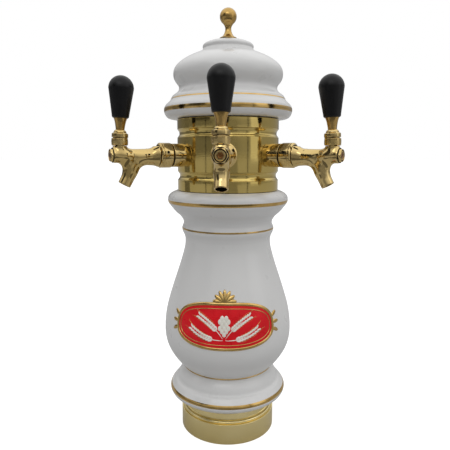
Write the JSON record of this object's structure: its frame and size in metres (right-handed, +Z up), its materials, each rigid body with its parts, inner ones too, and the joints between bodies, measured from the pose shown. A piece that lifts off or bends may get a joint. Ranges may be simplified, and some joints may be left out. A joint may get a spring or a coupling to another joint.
{
  "type": "beer tap tower",
  "caption": "Ceramic column beer tower with brass foot and collar, lever taps with black handles spaced around its front, and a domed cap with a ball finial.",
  "frame": {"origin": "on the tower's axis at the underside of the base plate", "axes": "+Z up the column, -Y along the front faucet, X across the tower"},
  "size_m": [0.303, 0.2636, 0.6077],
  "materials": {
    "white_glaze": "high gloss off-white glaze with fired gold lines",
    "gold_lustre": "thin fired gold lustre",
    "badge_enamel": "gloss red enamel print with a gold rim",
    "polished_brass": "polished and lacquered",
    "tap_brass": "polished",
    "black_knob": "moulded black, satin gloss",
    "inner_steel": "plain stainless",
    "seal_rubber": "matte black rubber",
    "line_foam": "closed-cell foam tube"
  },
  "bodies": {
    "column": {"foot_ring": "polished_brass", "base_plate": "inner_steel", "foot_gasket": "seal_rubber", "ceramic_base": "white_glaze", "waist_gasket": "seal_rubber", "ceramic_body": "white_glaze", "collar_gasket": "seal_rubber", "collar": "polished_brass", "cap_gasket": "seal_rubber", "ceramic_cap": "white_glaze", "finial": "polished_brass", "tie_rod": "inner_steel", "clamp_bridge": "inner_steel", "clamp_washer": "inner_steel", "clamp_nut": "inner_steel", "insulation_sleeve": "line_foam", "left_sleeve": "tap_brass", "left_shank": "tap_brass", "left_shank_nut": "tap_brass", "left_tailpiece": "inner_steel", "left_riser": "inner_steel", "left_coupling_nut": "tap_brass", "left_faucet_washer": "seal_rubber", "left_faucet_body": "tap_brass", "left_front_plug": "tap_brass", "left_bonnet": "tap_brass", "front_sleeve": "tap_brass", "front_shank": "tap_brass", "front_shank_nut": "tap_brass", "front_tailpiece": "inner_steel", "front_riser": "inner_steel", "front_coupling_nut": "tap_brass", "front_faucet_washer": "seal_rubber", "front_faucet_body": "tap_brass", "front_front_plug": "tap_brass", "front_bonnet": "tap_brass", "right_sleeve": "tap_brass", "right_shank": "tap_brass", "right_shank_nut": "tap_brass", "right_tailpiece": "inner_steel", "right_riser": "inner_steel", "right_coupling_nut": "tap_brass", "right_faucet_washer": "seal_rubber", "right_faucet_body": "tap_brass", "right_front_plug": "tap_brass", "right_bonnet": "tap_brass"},
    "left_lever_arm": {"left_lever": "tap_brass", "left_ferrule": "tap_brass", "left_handle": "black_knob"},
    "left_valve": {"left_valve_shaft": "inner_steel"},
    "front_lever_arm": {"front_lever": "tap_brass", "front_ferrule": "tap_brass", "front_handle": "black_knob"},
    "front_valve": {"front_valve_shaft": "inner_steel"},
    "right_lever_arm": {"right_lever": "tap_brass", "right_ferrule": "tap_brass", "right_handle": "black_knob"},
    "right_valve": {"right_valve_shaft": "inner_steel"}
  },
  "joints": [
    {"name": "left_lever_pull", "type": "hinge", "parent": "column", "child": "left_lever_arm", "pos_m": [-0.13562, -0.0783, 0.422], "axis": [0.5, -0.866, 0], "range_deg": [0, 28]},
    {"name": "left_valve_slide", "type": "slide", "parent": "column", "child": "left_valve", "axis": [0.866, 0.5, 0], "range_m": [0, 0.007]},
    {"name": "front_lever_pull", "type": "hinge", "parent": "column", "child": "front_lever_arm", "pos_m": [0, -0.1566, 0.422], "axis": [1, 0, 0], "range_deg": [0, 28]},
    {"name": "front_valve_slide", "type": "slide", "parent": "column", "child": "front_valve", "axis": [0, 1, 0], "range_m": [0, 0.007]},
    {"name": "right_lever_pull", "type": "hinge", "parent": "column", "child": "right_lever_arm", "pos_m": [0.13562, -0.0783, 0.422], "axis": [0.5, 0.866, 0], "range_deg": [0, 28]},
    {"name": "right_valve_slide", "type": "slide", "parent": "column", "child": "right_valve", "axis": [-0.866, 0.5, 0], "range_m": [0, 0.007]}
  ],
  "couplings": [
    {"joint": "left_valve_slide", "follows": "left_lever_pull", "m_per_rad": 0.014106},
    {"joint": "front_valve_slide", "follows": "front_lever_pull", "m_per_rad": 0.014106},
    {"joint": "right_valve_slide", "follows": "right_lever_pull", "m_per_rad": 0.014106}
  ]
}
